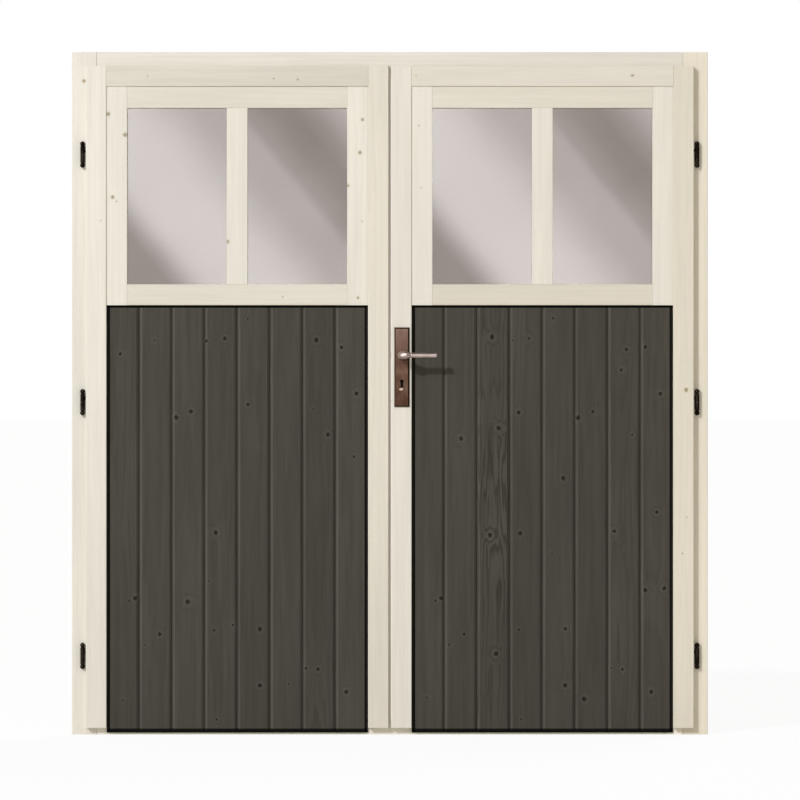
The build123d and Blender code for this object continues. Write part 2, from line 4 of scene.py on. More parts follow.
import bmesh
import bpy
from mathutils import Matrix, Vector


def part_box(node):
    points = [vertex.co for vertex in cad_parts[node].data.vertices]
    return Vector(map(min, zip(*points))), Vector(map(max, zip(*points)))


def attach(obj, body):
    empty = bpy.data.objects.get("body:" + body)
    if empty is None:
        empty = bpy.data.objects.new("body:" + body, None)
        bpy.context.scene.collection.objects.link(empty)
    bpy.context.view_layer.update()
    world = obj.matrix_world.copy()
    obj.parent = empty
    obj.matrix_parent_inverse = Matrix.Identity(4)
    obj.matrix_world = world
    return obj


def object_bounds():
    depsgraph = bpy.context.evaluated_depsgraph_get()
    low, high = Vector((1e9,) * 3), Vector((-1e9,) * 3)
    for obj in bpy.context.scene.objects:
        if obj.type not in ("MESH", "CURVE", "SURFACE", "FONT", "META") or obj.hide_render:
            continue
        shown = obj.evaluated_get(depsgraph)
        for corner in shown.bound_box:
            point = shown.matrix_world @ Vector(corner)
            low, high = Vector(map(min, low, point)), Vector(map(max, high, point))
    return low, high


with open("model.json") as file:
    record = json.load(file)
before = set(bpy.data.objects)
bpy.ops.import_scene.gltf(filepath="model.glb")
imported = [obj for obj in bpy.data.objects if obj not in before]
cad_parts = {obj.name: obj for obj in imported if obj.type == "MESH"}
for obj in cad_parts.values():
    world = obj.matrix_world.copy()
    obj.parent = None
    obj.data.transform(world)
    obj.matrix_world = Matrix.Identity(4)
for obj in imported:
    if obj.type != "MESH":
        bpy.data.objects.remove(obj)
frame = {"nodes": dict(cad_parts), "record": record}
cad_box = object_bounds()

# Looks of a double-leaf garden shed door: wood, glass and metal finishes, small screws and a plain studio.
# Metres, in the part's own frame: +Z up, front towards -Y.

# Where the door lies in the picture, in pixels
image_size = 800
picture_left = 72.0
picture_right = 707.7
picture_foot = 734.5

# Camera
camera_distance = 12.0
sensor_width = 36.0

# Lamps: a sun from the upper left, a broad lamp near by, and a weaker sun from behind
key_direction = (0.72, 1.0, -0.70)
key_strength = 1.6
key_angle = 0.05
key_tint = (0.98, 0.985, 1.0)
broad_place = (-1.75, -2.6, 2.8)
broad_power = 17.5
broad_size = 0.6
broad_tint = (0.93, 0.98, 1.09)
back_direction = (-0.5, -1.0, -0.8)
back_strength = 0.9
back_angle = 0.6

# World and floor
world_light = 0.445
world_tint = (1.0, 0.975, 0.905)
floor_size = 400.0
floor_white_share = 0.9
floor_tone = (236, 233, 222)
floor_seen_tone = (250, 250, 250)

# Bright card mirrored by the panes: place, and brightness along its slanted axis
card_distance = 6.0
card_margin = 0.15
card_slope = 1.2
card_tint = (1.0, 0.955, 0.935)
card_stops = (
    (0.0, 0.6),
    (0.13, 1.0),
    (0.16, 2.8),
    (0.215, 8.1),
    (0.24, 9.5),
    (0.29, 9.9),
    (0.4, 9.7),
    (0.46, 8.5),
    (0.55, 5.5),
    (0.58, 4.8),
    (0.67, 4.3),
    (0.705, 2.0),
    (0.775, 0.4),
    (0.83, 0.1),
    (0.885, 1.4),
    (0.97, 5.2),
    (1.0, 5.5),
)

# Softbox on the left and dark flags on the right and above, seen only in gloss
flag_place = 3.0
flag_near = -3.0
flag_far = 1.5
flag_top = 2.3
flag_tone = (24, 21, 19)
softbox_near = -5.0
softbox_far = -0.3
softbox_light = 3.2

# Pale spruce
spruce = {
    "early": (230, 225, 215),
    "late": (217, 208, 190),
    "halo": (222, 215, 199),
    "knot": (168, 155, 131),
    "ring": 0.0085,
    "ring_share": 0.24,
    "streak_share": 0.027,
    "fibre_share": 0.024,
    "patch_share": 0.035,
    "knot_push": 0.5,
    "rough": (0.6, 0.75),
    "specular": 0.2,
    "bump": 0.2,
}

# Boards with a dark grey stain
stain = {
    "early": (75, 72, 66),
    "late": (58, 55, 49),
    "halo": (88, 85, 78),
    "knot": (39, 36, 32),
    "ring": 0.0055,
    "ring_share": 0.36,
    "streak_share": 0.07,
    "fibre_share": 0.075,
    "patch_share": 0.07,
    "knot_push": 1.3,
    "rough": (0.55, 0.7),
    "specular": 0.03,
    "bump": 0.3,
}

# How grain lies in the wood
fibre_fineness = 900.0
fibre_stretch_share = 0.012
streak_fineness = 60.0
streak_stretch_share = 0.045
patch_fineness = 3.0
patch_stretch_share = 0.35
patch_shares = (0.2, 1.0)
wobble_fineness = 1.3
wobble_reach = 0.012
jitter_rings = 1.8
noise_band = (0.3, 0.7)
noise_detail = 3.0
ring_stops = ((0.0, 0.0), (0.4, 0.0), (0.82, 1.0), (1.0, 0.0))
fibre_depth = 0.0004

# Knots, in radii from their middle, and how far off they are where there are none
knot_scale_share = 1.08
knot_flatten_share = 0.9
knot_rough_fineness = 260.0
knot_rough_share = 1.7
knot_core = (0.5, 1.25)
knot_halo = (1.0, 2.4)
knot_halo_share = 0.5
knot_bulge = (0.6, 4.6)
knot_far = 100.0

# Small knots are faint: from which radius down, in pixels, and how fast
faint_radius = 1.7
faint_share = 0.75

# Middle of the tree's rings, seen from a member: sideways and in depth
member_pith = (0.075, 0.07)
board_pith_depth = 0.03
board_pith_spread = 0.05
board_tone_spread = 0.1
board_seeds = {"left_boards": 20.0, "right_boards": 40.0}
board_count = 8
same_board = 0.5

# How bold the grain of each board is, from left to right, and how much closer its rings are then
board_figure_shares = {
    "left_boards": (1.0, 0.6, 0.75, 0.8, 0.8, 0.75, 1.4, 0.75),
    "right_boards": (0.55, 0.85, 5.0, 1.1, 0.8, 1.1, 1.4, 0.9),
}
figure_power = 0.48

# Seeds of the noise
seed_step = 1.37
seed_reach = 10.0

# Painted light on the boards: a painted highlight on the flank of each vee that faces the light, painted
# shade deep in the gaps and recesses, and painted shade at the feet
flank_band = (0.35, 0.5)
flank_end = (0.85, 0.95)
flank_highlight_share = 0.4
recess_shade_depth_shares = (0.12, 0.6)
recess_shade_share = 0.2
board_back_band = (0.5, 0.9)
foot_heights = (0.0105, 0.0125)
foot_shade_share = 0.14

# How light each member is, next to plain spruce, with painted light on some: the sill painted lighter for
# light in the shade under the leaves, and the meeting bead painted darker for the shade in the gap between
# the leaves
plain_tone_share = 0.975
member_tone_and_light_shares = {
    "left_jamb": 0.955,
    "right_jamb": 1.02,
    "head": 0.94,
    # painted light: the sill lighter than its wood, for light in the shade under the leaves
    "sill": 1.15,
    "left_top_rail": 0.83,
    "right_top_rail": 0.94,
    "left_hinge_stile": 0.975,
    "left_meeting_stile": 0.93,
    "right_meeting_stile": 0.975,
    "right_hinge_stile": 0.925,
    "left_sash_hinge_stile": 0.975,
    "right_sash_meeting_stile": 1.0,
    "left_sash_top_rail": 0.89,
    "right_sash_top_rail": 0.93,
    "left_sash_bottom_rail": 0.925,
    "right_sash_bottom_rail": 0.885,
    "right_sash_hinge_stile": 0.97,
    # painted shade: the bead darker than its wood, for the shade in the gap between the leaves
    "meeting_bead": 0.8,
}

# How much of a warm tint the wood of a member has: partly the wood's tone and partly painted warm light,
# strongest on the right-hand members where the light falls warmer
warm_tint = (1.0, 0.955, 0.875)
member_warmth_and_light_shares = {
    "right_jamb": 0.65,
    "right_hinge_stile": 0.6,
    "right_sash_bottom_rail": 0.5,
    "right_sash_top_rail": 0.4,
    "left_meeting_stile": 0.4,
    "left_top_rail": 0.3,
    "right_top_rail": 0.3,
    "left_sash_top_rail": 0.3,
    "left_sash_bottom_rail": 0.3,
}

# Knots in the picture's pixels: column, row and radius
knots = {
    "left_jamb": ((84, 81, 1.7),),
    "left_hinge_stile": ((101, 221, 1.0),),
    "left_sash_hinge_stile": ((108.5, 114.5, 2.0), (125.5, 135, 2.0), (113, 197.5, 1.7), (117, 201.5, 1.2)),
    "left_sash_meeting_stile": (
        (362.5, 120, 1.6), (360, 153, 1.7), (348, 186, 1.5), (362, 221.5, 1.1), (358, 298, 1.5)),
    "left_sash_muntin": ((227.5, 242, 1.8),),
    "left_top_rail": ((148, 77, 1.1), (274, 79, 1.2), (298, 80, 1.3)),
    "left_sash_bottom_rail": ((283, 297, 1.1),),
    "right_top_rail": ((416, 76, 1.1), (632, 76, 1.5)),
    "right_hinge_stile": ((685.7, 390, 1.9), (686, 517, 1.1), (682, 553, 1.2)),
    "right_sash_meeting_stile": ((421, 188, 1.0), (419, 126, 1.2)),
    "left_boards": (
        (120.5, 354, 1.7), (155, 340.5, 1.4), (206.5, 341, 1.7), (225, 338.5, 1.9), (248, 319, 1.3),
        (293, 339, 1.1), (316.5, 340, 2.2), (341.5, 347.5, 1.8), (176.5, 417.5, 2.3), (191, 411.5, 2.0),
        (248, 404.5, 1.7), (313, 409, 1.2), (356.5, 393.5, 2.1), (328, 434.5, 1.9), (354, 456.5, 1.5),
        (257, 447, 1.0), (216, 532.5, 2.1), (208.5, 580.5, 1.3), (188, 601.5, 2.3), (135.5, 598, 2.0),
        (129.5, 600.5, 1.4), (160, 634, 1.9), (214, 630, 1.5), (260, 628.5, 2.1), (233, 624.5, 1.5),
        (145, 644.5, 1.3), (306, 668, 1.6), (318, 669, 1.7), (260, 685, 2.1), (289, 684, 1.4),
        (346.5, 691.5, 2.1), (217, 719, 1.5), (123, 700, 1.4)),
    "right_boards": (
        (492, 337, 2.3), (512.5, 340.5, 1.3), (529, 338.5, 1.5), (553, 318.5, 1.5), (626, 349.5, 1.7),
        (645, 347, 1.8), (621, 370, 1.6), (660, 393.5, 1.9), (518.5, 412.5, 1.9), (532.5, 421.5, 1.2),
        (552, 404.5, 1.1), (578, 417.5, 2.3), (592.5, 411.5, 1.6), (498.5, 428, 2.2), (461, 438.5, 2.1),
        (632, 435, 1.5), (563, 478, 2.1), (656.5, 512, 1.7), (490, 535, 2.1), (520, 533, 2.0),
        (614, 531, 1.9), (552, 553, 1.3), (623, 548, 1.1), (441, 598, 2.0), (435.5, 600.5, 1.5),
        (645, 590, 2.0), (664, 588, 2.0), (652.5, 591, 1.2), (464, 634, 1.6), (449, 644.5, 1.4),
        (519, 629.5, 1.5), (565, 628.5, 1.7), (496, 653.5, 2.2), (565, 685, 2.1), (584, 698.5, 2.4),
        (592, 684, 1.2), (611, 668, 1.4), (622, 669, 1.6), (651, 691.5, 2.0), (427, 697, 1.4),
        (521, 719, 1.4)),
}

# Acrylic panes
glass_tint = (143, 134, 129)
glass_haze_tint = (149, 140, 135)
glass_index = 1.49
glass_cloud_fineness = 5.0
glass_roughness = (0.0, 0.012)

# Metal
plate_tones = ((93, 72, 60), (68, 47, 36))
plate_roughness = (0.34, 0.5)
lever_tones = ((178, 162, 155), (150, 134, 127))
lever_roughness = (0.34, 0.42)
hinge_tones = ((46, 39, 32), (18, 13, 9))
hinge_roughness = (0.3, 0.45)
zinc_tones = ((196, 198, 200), (150, 152, 156))
zinc_roughness = (0.3, 0.45)
case_tone = (20, 18, 17)
case_edge = (0.0055, 0.0065)
brushed_fineness = 700.0
brushed_stretch_share = 0.03
brushed_share = 0.25
patina_fineness = 26.0
patina_band = (0.35, 0.65)
brushed_depth = 0.0002
brushed_bump = 0.12

# Plate metal painted lighter towards its top, standing in for light, and painted dark reflection on its
# bevels
top_light_tone = (124, 102, 92)
top_light_share = 0.4
top_light_height_shares = (0.5, 0.9)
bevel_dark_reflection_tone = (64, 45, 36)
bevel_band = (0.8, 0.95)

# Painted highlight under the keyhole, in the picture's pixels
glint_column = 401.2
glint_row = 389.3
glint_radius = 2.4
glint_flatten = 1.9
glint_tone = (184, 158, 147)
glint_band = (0.5, 1.1)

# Screws with a cross recess, and where they stand on their fittings
screw_sides = 24
screw_top_share = 0.86
screw_cross_half_share = 0.13
screw_cross_reach_share = 0.58
screw_cross_depth_share = 0.8
screw_radius = 0.0035
screw_height = 0.0009
guide_screw_reach = 0.014
guide_screw_inset = 0.032
keeper_screw_reach = 0.015
plate_screw_inset = 0.01

# Screen tones as linear light, by the usual curve
tone_top = 255
tone_knee = 0.04045
tone_slope = 12.92
tone_offset = 0.055
tone_power = 2.4
plain_tint = (1.0, 1.0, 1.0)
white = (1.0, 1.0, 1.0, 1.0)

# Sockets of a mix node that mixes colours
mix_share_socket = 0
mix_first_socket = 6
mix_second_socket = 7
mix_result_socket = 2

# Finish of each node in the record
node_slots = {entry["node"]: entry["material_slot"] for entry in frame["record"]["subparts"]}


def linear(tone):
    """A tone on the 0 to 255 scale of a screen, as linear light."""
    light = []
    for share in (value / tone_top for value in tone):
        curved = ((share + tone_offset) / (1.0 + tone_offset)) ** tone_power
        light.append(share / tone_slope if share <= tone_knee else curved)
    return light


def colour(tone, shares=plain_tint):
    """A tone as a colour of a node, each part times its share."""
    return (*(value * share for value, share in zip(linear(tone), shares)), 1.0)


def member_tone_and_light(name):
    """How light and how warm the wood of a member is, with the painted light and warmth of its shares."""
    light = member_tone_and_light_shares.get(name, plain_tone_share)
    warm = member_warmth_and_light_shares.get(name, 0.0)
    return [light * (1.0 + warm * (share - 1.0)) for share in warm_tint]


class Graph:
    """Short calls for the nodes of one material or world."""

    def __init__(self, tree):
        self.tree = tree
        self.tree.nodes.clear()

    def feed(self, socket, value):
        """Links a socket to another, or sets its own value."""
        if isinstance(value, bpy.types.NodeSocket):
            self.tree.links.new(value, socket)
        else:
            socket.default_value = value

    def add(self, kind, inputs=None, **settings):
        node = self.tree.nodes.new(kind)
        for name, value in settings.items():
            setattr(node, name, value)
        for name, value in (inputs or {}).items():
            self.feed(node.inputs[name], value)
        return node

    def math(self, operation, *terms):
        node = self.add("ShaderNodeMath", operation=operation)
        for socket, term in zip(node.inputs, terms):
            self.feed(socket, term)
        return node.outputs[0]

    def vector(self, operation, *terms, output="Vector"):
        node = self.add("ShaderNodeVectorMath", operation=operation)
        for socket, term in zip(node.inputs, terms):
            self.feed(socket, term)
        return node.outputs[output]

    def combine(self, x, y, z):
        return self.add("ShaderNodeCombineXYZ", {"X": x, "Y": y, "Z": z}).outputs[0]

    def separate(self, vector):
        return self.add("ShaderNodeSeparateXYZ", {"Vector": vector}).outputs

    def noise(self, point, fineness):
        inputs = {"Vector": point, "Scale": fineness, "Detail": noise_detail}
        return self.add("ShaderNodeTexNoise", inputs).outputs["Fac"]

    def remap(self, value, band, to_low, to_high):
        inputs = {"Value": value, "To Min": to_low, "To Max": to_high}
        inputs["From Min"], inputs["From Max"] = band
        return self.add("ShaderNodeMapRange", inputs, interpolation_type="SMOOTHSTEP").outputs[0]

    def around_one(self, value, share):
        """A noise value as a factor from one minus a share to one plus it."""
        return self.remap(value, noise_band, 1.0 - share, 1.0 + share)

    def mix(self, share, first, second, blend="MIX"):
        node = self.add("ShaderNodeMix", data_type="RGBA", blend_type=blend)
        self.feed(node.inputs[mix_share_socket], share)
        self.feed(node.inputs[mix_first_socket], first)
        self.feed(node.inputs[mix_second_socket], second)
        return node.outputs[mix_result_socket]

    def ramp(self, share, stops):
        """Greys along a scale."""
        node = self.add("ShaderNodeValToRGB", {"Fac": share})
        band = node.color_ramp.elements
        while len(band) < len(stops):
            band.new(1.0)
        for element, (place, value) in zip(band, stops):
            element.position = place
            element.color = (value, value, value, 1.0)
        return node.outputs["Color"]

    def bump(self, height, strength, depth):
        inputs = {"Height": height, "Strength": strength, "Distance": depth}
        return self.add("ShaderNodeBump", inputs).outputs[0]

    def point(self):
        """Where a point is, in the part's own frame."""
        return self.add("ShaderNodeTexCoord").outputs["Object"]

    def glow(self, tint, strength):
        return self.add("ShaderNodeEmission", {"Color": tint, "Strength": strength}).outputs[0]

    def cover(self, share, under, over):
        """One shader covered by a share of another."""
        return self.add("ShaderNodeMixShader", {0: share, 1: under, 2: over}).outputs[0]

    def finish(self, shader, kind="ShaderNodeOutputMaterial"):
        self.tree.links.new(shader, self.add(kind).inputs["Surface"])


def new_material(name):
    material = bpy.data.materials.new(name)
    material.use_nodes = True
    return material, Graph(material.node_tree)


def principled(graph, inputs):
    shader = graph.add("ShaderNodeBsdfPrincipled", inputs)
    graph.finish(shader.outputs[0])


def dress(node, material):
    """Gives a CAD node its material."""
    slots = frame["nodes"][node].data.materials
    slots.clear()
    slots.append(material)


# Places taken from the picture

low, high = cad_box
metres_per_pixel = (high.x - low.x) / (picture_right - picture_left)
picture_middle = (picture_left + picture_right) / 2


def spot(column, row):
    """A pixel of the picture as X and Z on the door."""
    return (column - picture_middle) * metres_per_pixel, (picture_foot - row) * metres_per_pixel


# Wood


class Grain:
    """Coordinates of one piece of wood: along its grain, across it and in depth."""

    def __init__(self, graph, direction):
        self.direction = Vector(direction).normalized()
        side = Vector((self.direction.z, 0.0, -self.direction.x))
        self.side = -side if side.x + side.z < 0 else side
        texture = graph.add("ShaderNodeTexCoord").outputs
        point = texture["Object"]
        self.normal = graph.separate(texture["Normal"])
        self.along = graph.vector("DOT_PRODUCT", point, tuple(self.direction), output="Value")
        self.across = graph.vector("DOT_PRODUCT", point, tuple(self.side), output="Value")
        self.depth = graph.separate(point)["Y"]


def grain_direction(name):
    """Along the length of a member."""
    if name.endswith("rail") or name in ("head", "sill"):
        return (1.0, 0.0, 0.0)
    if name.endswith("brace"):
        lowest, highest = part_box(name)
        run = highest.x - lowest.x
        return (run if name.startswith("left") else -run, 0.0, highest.z - lowest.z)
    return (0.0, 0.0, 1.0)


def knot_distance(graph, grain, spots):
    """How far a point is from the nearest knot, in radii of that knot."""
    nearest = knot_far
    if not spots:
        return nearest
    flat = graph.combine(grain.across, graph.math("MULTIPLY", grain.along, knot_flatten_share), 0.0)
    for column, row, radius in spots:
        x, z = spot(column, row)
        place = Vector((x, 0.0, z))
        centre = (place.dot(grain.side), place.dot(grain.direction) * knot_flatten_share, 0.0)
        reach = graph.vector("DISTANCE", flat, centre, output="Value")
        reach = graph.math("DIVIDE", reach, radius * knot_scale_share * metres_per_pixel)
        reach = graph.math("ADD", reach, faint_share * max(faint_radius - radius, 0.0))
        nearest = graph.math("MINIMUM", nearest, reach)
    rough = graph.noise(flat, knot_rough_fineness)
    nearest = graph.math("SUBTRACT", nearest, knot_rough_share / 2)
    return graph.math("MULTIPLY_ADD", rough, knot_rough_share, nearest)


def add_knots(graph, look, tone, base, nearest):
    """Knots and the halos around them, laid over the wood's colour."""
    halo = graph.remap(nearest, knot_halo, knot_halo_share, 0.0)
    base = graph.mix(halo, base, colour(look["halo"], tone))
    core = graph.remap(nearest, knot_core, 1.0, 0.0)
    return graph.mix(core, base, colour(look["knot"], tone))


def member_growth(graph, grain, name, seed):
    """Pith of a single member, outside it on one side. Its grain is neither bold nor shaded."""
    lowest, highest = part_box(name)
    middle = ((lowest + highest) / 2).dot(grain.side)
    turn = 1 if int(seed / seed_step) % 2 else -1
    shifted = graph.math("ADD", grain.along, seed_reach * seed)
    pith = (middle + turn * member_pith[0], member_pith[1], shifted)
    return pith, 1.0, 1.0


def board_index(graph, grain, first, pitch):
    """Which board of a panel a point lies on."""
    index = graph.math("FLOOR", graph.math("DIVIDE", graph.math("SUBTRACT", grain.across, first), pitch))
    return graph.math("MAXIMUM", graph.math("MINIMUM", index, board_count - 1.0), 0.0)


def board_figure(graph, name, index):
    """How bold the grain is on the board that a point lies on."""
    figure = 0.0
    for board, share in enumerate(board_figure_shares[name]):
        here = graph.math("COMPARE", index, float(board), same_board)
        figure = graph.math("MULTIPLY_ADD", here, share, figure)
    return figure


def board_shade(graph, grain, name):
    """Painted highlight on the vee flank that faces the light, painted shade in the gaps and recesses, and
    painted shade at the board feet.
    """
    lowest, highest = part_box(name)
    thickness = highest.y - lowest.y
    # Painted highlight: the flank of each vee that faces the light on the left is made lighter
    turned = graph.math("MULTIPLY", grain.normal["X"], -1.0)
    flank = graph.math("MULTIPLY", graph.remap(turned, flank_band, 0.0, flank_highlight_share),
                       graph.remap(turned, flank_end, 1.0, 0.0))
    # Painted shade: darker the deeper a point lies in the gaps and recesses, except on the boards' backs
    recess_shade_band = [lowest.y + share * thickness for share in recess_shade_depth_shares]
    recess_shade = graph.remap(grain.depth, recess_shade_band, 1.0, recess_shade_share)
    recess_shade = graph.math("MAXIMUM", recess_shade, graph.remap(grain.normal["Y"], board_back_band, 0.0, 1.0))
    # Painted shade: the bottom of each board is made darker
    foot = graph.remap(grain.along, [lowest.z + rise for rise in foot_heights], foot_shade_share, 1.0)
    shade = graph.math("MULTIPLY", recess_shade, foot)
    return graph.math("MULTIPLY_ADD", flank, shade, shade)


def board_growth(graph, grain, name, seed, first, pitch):
    """Pith of each board of a panel, how bold its grain is and how light its stain is, with the painted
    light and shade of board_shade.
    """
    index = board_index(graph, grain, first, pitch)
    dice = graph.add("ShaderNodeTexWhiteNoise", {"W": graph.math("ADD", index, seed)}, noise_dimensions="1D")
    dice = graph.separate(dice.outputs["Color"])
    near_edge = graph.math("MULTIPLY_ADD", index, pitch, first + pitch / 2 - board_pith_spread / 2)
    pith_across = graph.math("MULTIPLY_ADD", dice["X"], board_pith_spread, near_edge)
    pith_depth = graph.math("MULTIPLY_ADD", dice["Y"], board_pith_spread, board_pith_depth)
    shifted = graph.math("MULTIPLY_ADD", dice["Z"], seed_reach * seed_step, grain.along)
    light = graph.math("MULTIPLY_ADD", dice["Y"], board_tone_spread, 1.0 - board_tone_spread / 2)
    light = graph.math("MULTIPLY", light, board_shade(graph, grain, name))
    return (pith_across, pith_depth, shifted), board_figure(graph, name, index), light


def stretched_noise(graph, grain, shifted, stretch_share, fineness):
    """Noise drawn out along the grain."""
    point = graph.combine(grain.across, graph.math("MULTIPLY", shifted, stretch_share), grain.depth)
    return graph.noise(point, fineness)


def ring_phase(graph, grain, look, pith, figure, streak):
    """How many growth rings lie between a point and the pith, unevenly spaced."""
    pith_across, pith_depth, shifted = pith
    wobble = graph.noise(graph.combine(grain.across, shifted, 0.0), wobble_fineness)
    sway = graph.math("MULTIPLY_ADD", wobble, 2 * wobble_reach, pith_depth)
    out_across = graph.math("SUBTRACT", grain.across, pith_across)
    out_depth = graph.math("SUBTRACT", sway, grain.depth)
    radius = graph.vector("LENGTH", graph.combine(out_across, out_depth, 0.0), output="Value")
    rings = graph.math("MULTIPLY_ADD", streak, jitter_rings, graph.math("DIVIDE", radius, look["ring"]))
    return graph.math("MULTIPLY", rings, graph.math("POWER", figure, figure_power))


def late_wood(graph, look, phase, patch, figure):
    """How much dark late wood shows at a point, from its place in a growth ring."""
    ring = graph.ramp(graph.math("FRACT", phase), ring_stops)
    clear, strong = (share * look["ring_share"] for share in patch_shares)
    late = graph.math("MULTIPLY", ring, graph.remap(patch, noise_band, clear, strong))
    return graph.math("MULTIPLY", late, figure)


def wood(name, look, spots, seed, tone=plain_tint, boards=None):
    """Growth rings, fibres and knots in the solid, with the grain along the piece."""
    material, graph = new_material(name)
    grain = Grain(graph, grain_direction(name))
    if boards:
        pith, figure, shade = board_growth(graph, grain, name, seed, *boards)
    else:
        pith, figure, shade = member_growth(graph, grain, name, seed)
    shifted = pith[2]
    fibre = stretched_noise(graph, grain, shifted, fibre_stretch_share, fibre_fineness)
    streak = stretched_noise(graph, grain, shifted, streak_stretch_share, streak_fineness)
    patch = stretched_noise(graph, grain, shifted, patch_stretch_share, patch_fineness)

    nearest = knot_distance(graph, grain, spots)
    phase = ring_phase(graph, grain, look, pith, figure, streak)
    phase = graph.math("ADD", phase, graph.remap(nearest, knot_bulge, look["knot_push"], 0.0))
    late = late_wood(graph, look, phase, patch, figure)
    base = graph.mix(late, colour(look["early"], tone), colour(look["late"], tone))
    base = add_knots(graph, look, tone, base, nearest)
    for value, share in ((streak, "streak_share"), (fibre, "fibre_share"), (patch, "patch_share")):
        shade = graph.math("MULTIPLY", shade, graph.around_one(value, look[share]))
    principled(graph, {
        "Base Color": graph.mix(1.0, base, graph.combine(shade, shade, shade), "MULTIPLY"),
        "Roughness": graph.remap(fibre, noise_band, *look["rough"]),
        "Specular IOR Level": look["specular"],
        "Normal": graph.bump(fibre, look["bump"], fibre_depth),
    })
    return material


def board_layout(name):
    """Where the first board of a panel starts, and how far apart the boards are."""
    stiles = [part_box(name.replace("boards", stile)) for stile in ("hinge_stile", "meeting_stile")]
    first = min(box[1].x for box in stiles)
    last = max(box[0].x for box in stiles)
    return first, (last - first) / board_count


def dress_wood():
    wooden = sorted(name for name, slot in node_slots.items() if slot == "spruce")
    for count, name in enumerate(wooden):
        dress(name, wood(name, spruce, knots.get(name, ()), seed_step * count, member_tone_and_light(name)))
    for name, seed in board_seeds.items():
        dress(name, wood(name, stain, knots[name], seed, boards=board_layout(name)))


# Glass and metal


def glass():
    material, graph = new_material("acrylic_glass")
    cloud = graph.remap(graph.noise(graph.point(), glass_cloud_fineness), noise_band, 0.0, 1.0)
    principled(graph, {
        "Base Color": graph.mix(cloud, colour(glass_tint), colour(glass_haze_tint)),
        "Roughness": graph.remap(cloud, (0.0, 1.0), *glass_roughness),
        "IOR": glass_index,
        "Transmission Weight": 1.0,
    })
    return material


def plate_painted_light(graph, point, base):
    """Painted dark reflection on the bevels, painted light towards the plate's top, and a painted highlight
    under the keyhole.
    """
    lowest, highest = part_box("outer_plate")
    # Painted light: the plate is made lighter towards its top
    band = [lowest.z + share * (highest.z - lowest.z) for share in top_light_height_shares]
    top_light = graph.remap(graph.separate(point)["Z"], band, 0.0, top_light_share)
    normal = graph.separate(graph.add("ShaderNodeTexCoord").outputs["Normal"])
    # Painted dark reflection: faces turned sideways, the bevels, are made dark
    facing = graph.remap(graph.math("ABSOLUTE", normal["Y"]), bevel_band, 0.0, 1.0)
    base = graph.mix(facing, colour(bevel_dark_reflection_tone), graph.mix(top_light, base, colour(top_light_tone)))
    # Painted highlight: a bright spot under the keyhole
    x, z = spot(glint_column, glint_row)
    place = graph.separate(graph.vector("SUBTRACT", point, (x, 0.0, z)))
    flat = graph.combine(place["X"], graph.math("MULTIPLY", place["Z"], glint_flatten), 0.0)
    reach = graph.vector("LENGTH", flat, output="Value")
    reach = graph.math("DIVIDE", reach, glint_radius * metres_per_pixel)
    return graph.mix(graph.remap(reach, glint_band, 1.0, 0.0), base, colour(glint_tone))


def lacquered(graph, point, base):
    """Black lacquer on the lock case, behind its bright forend."""
    inside = graph.remap(graph.separate(point)["X"], case_edge, 0.0, 1.0)
    return graph.mix(inside, base, colour(case_tone))


def metal(name, tones, roughness, stretch, overlay=None):
    """Brushed metal with patches of patina, and an overlay where it has one."""
    material, graph = new_material(name)
    point = graph.point()
    brushed = graph.noise(graph.vector("MULTIPLY", point, stretch), brushed_fineness)
    patina = graph.math("MULTIPLY", graph.noise(point, patina_fineness), 1.0 - brushed_share)
    blend = graph.math("MULTIPLY_ADD", brushed, brushed_share, patina)
    base = graph.mix(graph.remap(blend, patina_band, 0.0, 1.0), colour(tones[0]), colour(tones[1]))
    if overlay:
        base = overlay(graph, point, base)
    principled(graph, {
        "Base Color": base,
        "Metallic": 1.0,
        "Roughness": graph.remap(brushed, noise_band, *roughness),
        "Normal": graph.bump(brushed, brushed_bump, brushed_depth),
    })
    return material


def dress_fittings():
    """Every node of metal or acrylic; gives back the zinc for the screws."""
    upright = (1.0, 1.0, brushed_stretch_share)
    level = (brushed_stretch_share, 1.0, 1.0)
    zinc = metal("zinc_steel", zinc_tones, zinc_roughness, upright)
    finishes = {
        "brown_bronze": metal("bronze_plate", plate_tones, plate_roughness, upright, plate_painted_light),
        "dark_bronze": metal("dark_bronze", hinge_tones, hinge_roughness, upright),
        "zinc_steel": zinc,
        "acrylic_glass": glass(),
    }
    for name, slot in node_slots.items():
        if slot in finishes:
            dress(name, finishes[slot])
    lever = metal("bronze_lever", lever_tones, lever_roughness, level)
    for name in ("outer_lever", "inner_lever"):
        dress(name, lever)
    dress("lock_case", metal("lock_case", zinc_tones, zinc_roughness, upright, lacquered))
    return zinc


# Screws


def cross_outline(reach, half):
    """Corners of an upright cross, all the way round."""
    arm = [(reach, -half), (reach, half), (half, half)]
    corners = []
    for quarter in range(4):
        turn = quarter * pi / 2
        corners += [(x * cos(turn) - y * sin(turn), x * sin(turn) + y * cos(turn)) for x, y in arm]
    return corners


def loop(shape, corners, scale, z):
    """A closed loop of points at one height."""
    return [shape.verts.new((scale * x, scale * y, z)) for x, y in corners]


def wall(shape, lower, upper):
    """Faces all the way round between two loops."""
    for here in range(len(lower)):
        shape.faces.new((lower[here - 1], lower[here], upper[here], upper[here - 1]))


def holed_face(shape, outer, inner):
    """A flat face with a hole, between two loops at one height."""
    sides = [(edge[here - 1], edge[here]) for edge in (outer, inner) for here in range(len(edge))]
    bmesh.ops.triangle_fill(shape, use_beauty=True, edges=[shape.edges.get(side) for side in sides])


